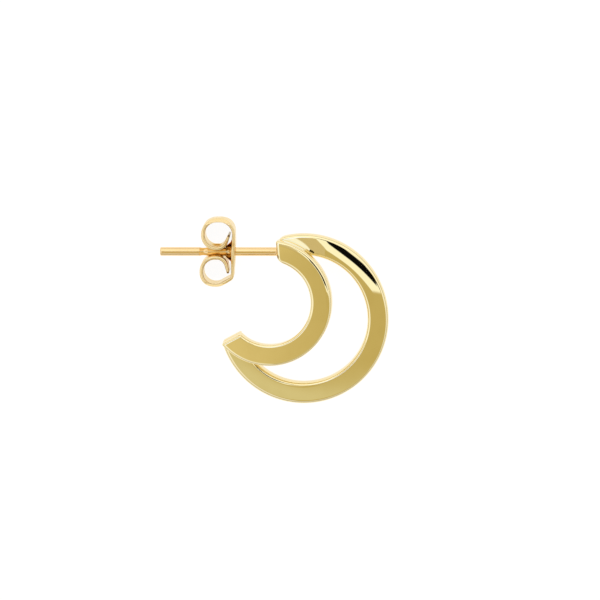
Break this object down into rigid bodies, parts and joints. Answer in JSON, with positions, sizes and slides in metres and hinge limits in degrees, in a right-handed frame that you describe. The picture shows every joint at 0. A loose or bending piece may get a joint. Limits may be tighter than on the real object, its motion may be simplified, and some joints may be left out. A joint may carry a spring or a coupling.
{
  "type": "double hoop earring",
  "caption": "Double hoop earring of polished yellow gold: a small and a large open row joined at both tips, with a friction post and a sliding butterfly clutch.",
  "frame": {"origin": "bottom centre of the whole earring's box, on the surface that it lies on", "axes": "+Z up from the surface, across the hoop; -X along the post to its free end; +Y up as the earring is worn"},
  "size_m": [0.0202, 0.0166, 0.0042],
  "materials": {
    "hoop_gold": "polished yellow gold",
    "clutch_gold": "polished warm yellow gold"
  },
  "bodies": {
    "hoop": {"double_hoop": "hoop_gold"},
    "clutch": {"butterfly_clutch": "clutch_gold"}
  },
  "joints": [
    {"name": "clutch_slide", "type": "slide", "parent": "hoop", "child": "clutch", "axis": [1, 0, 0], "range_m": [-0.0069, 0.0033]}
  ]
}
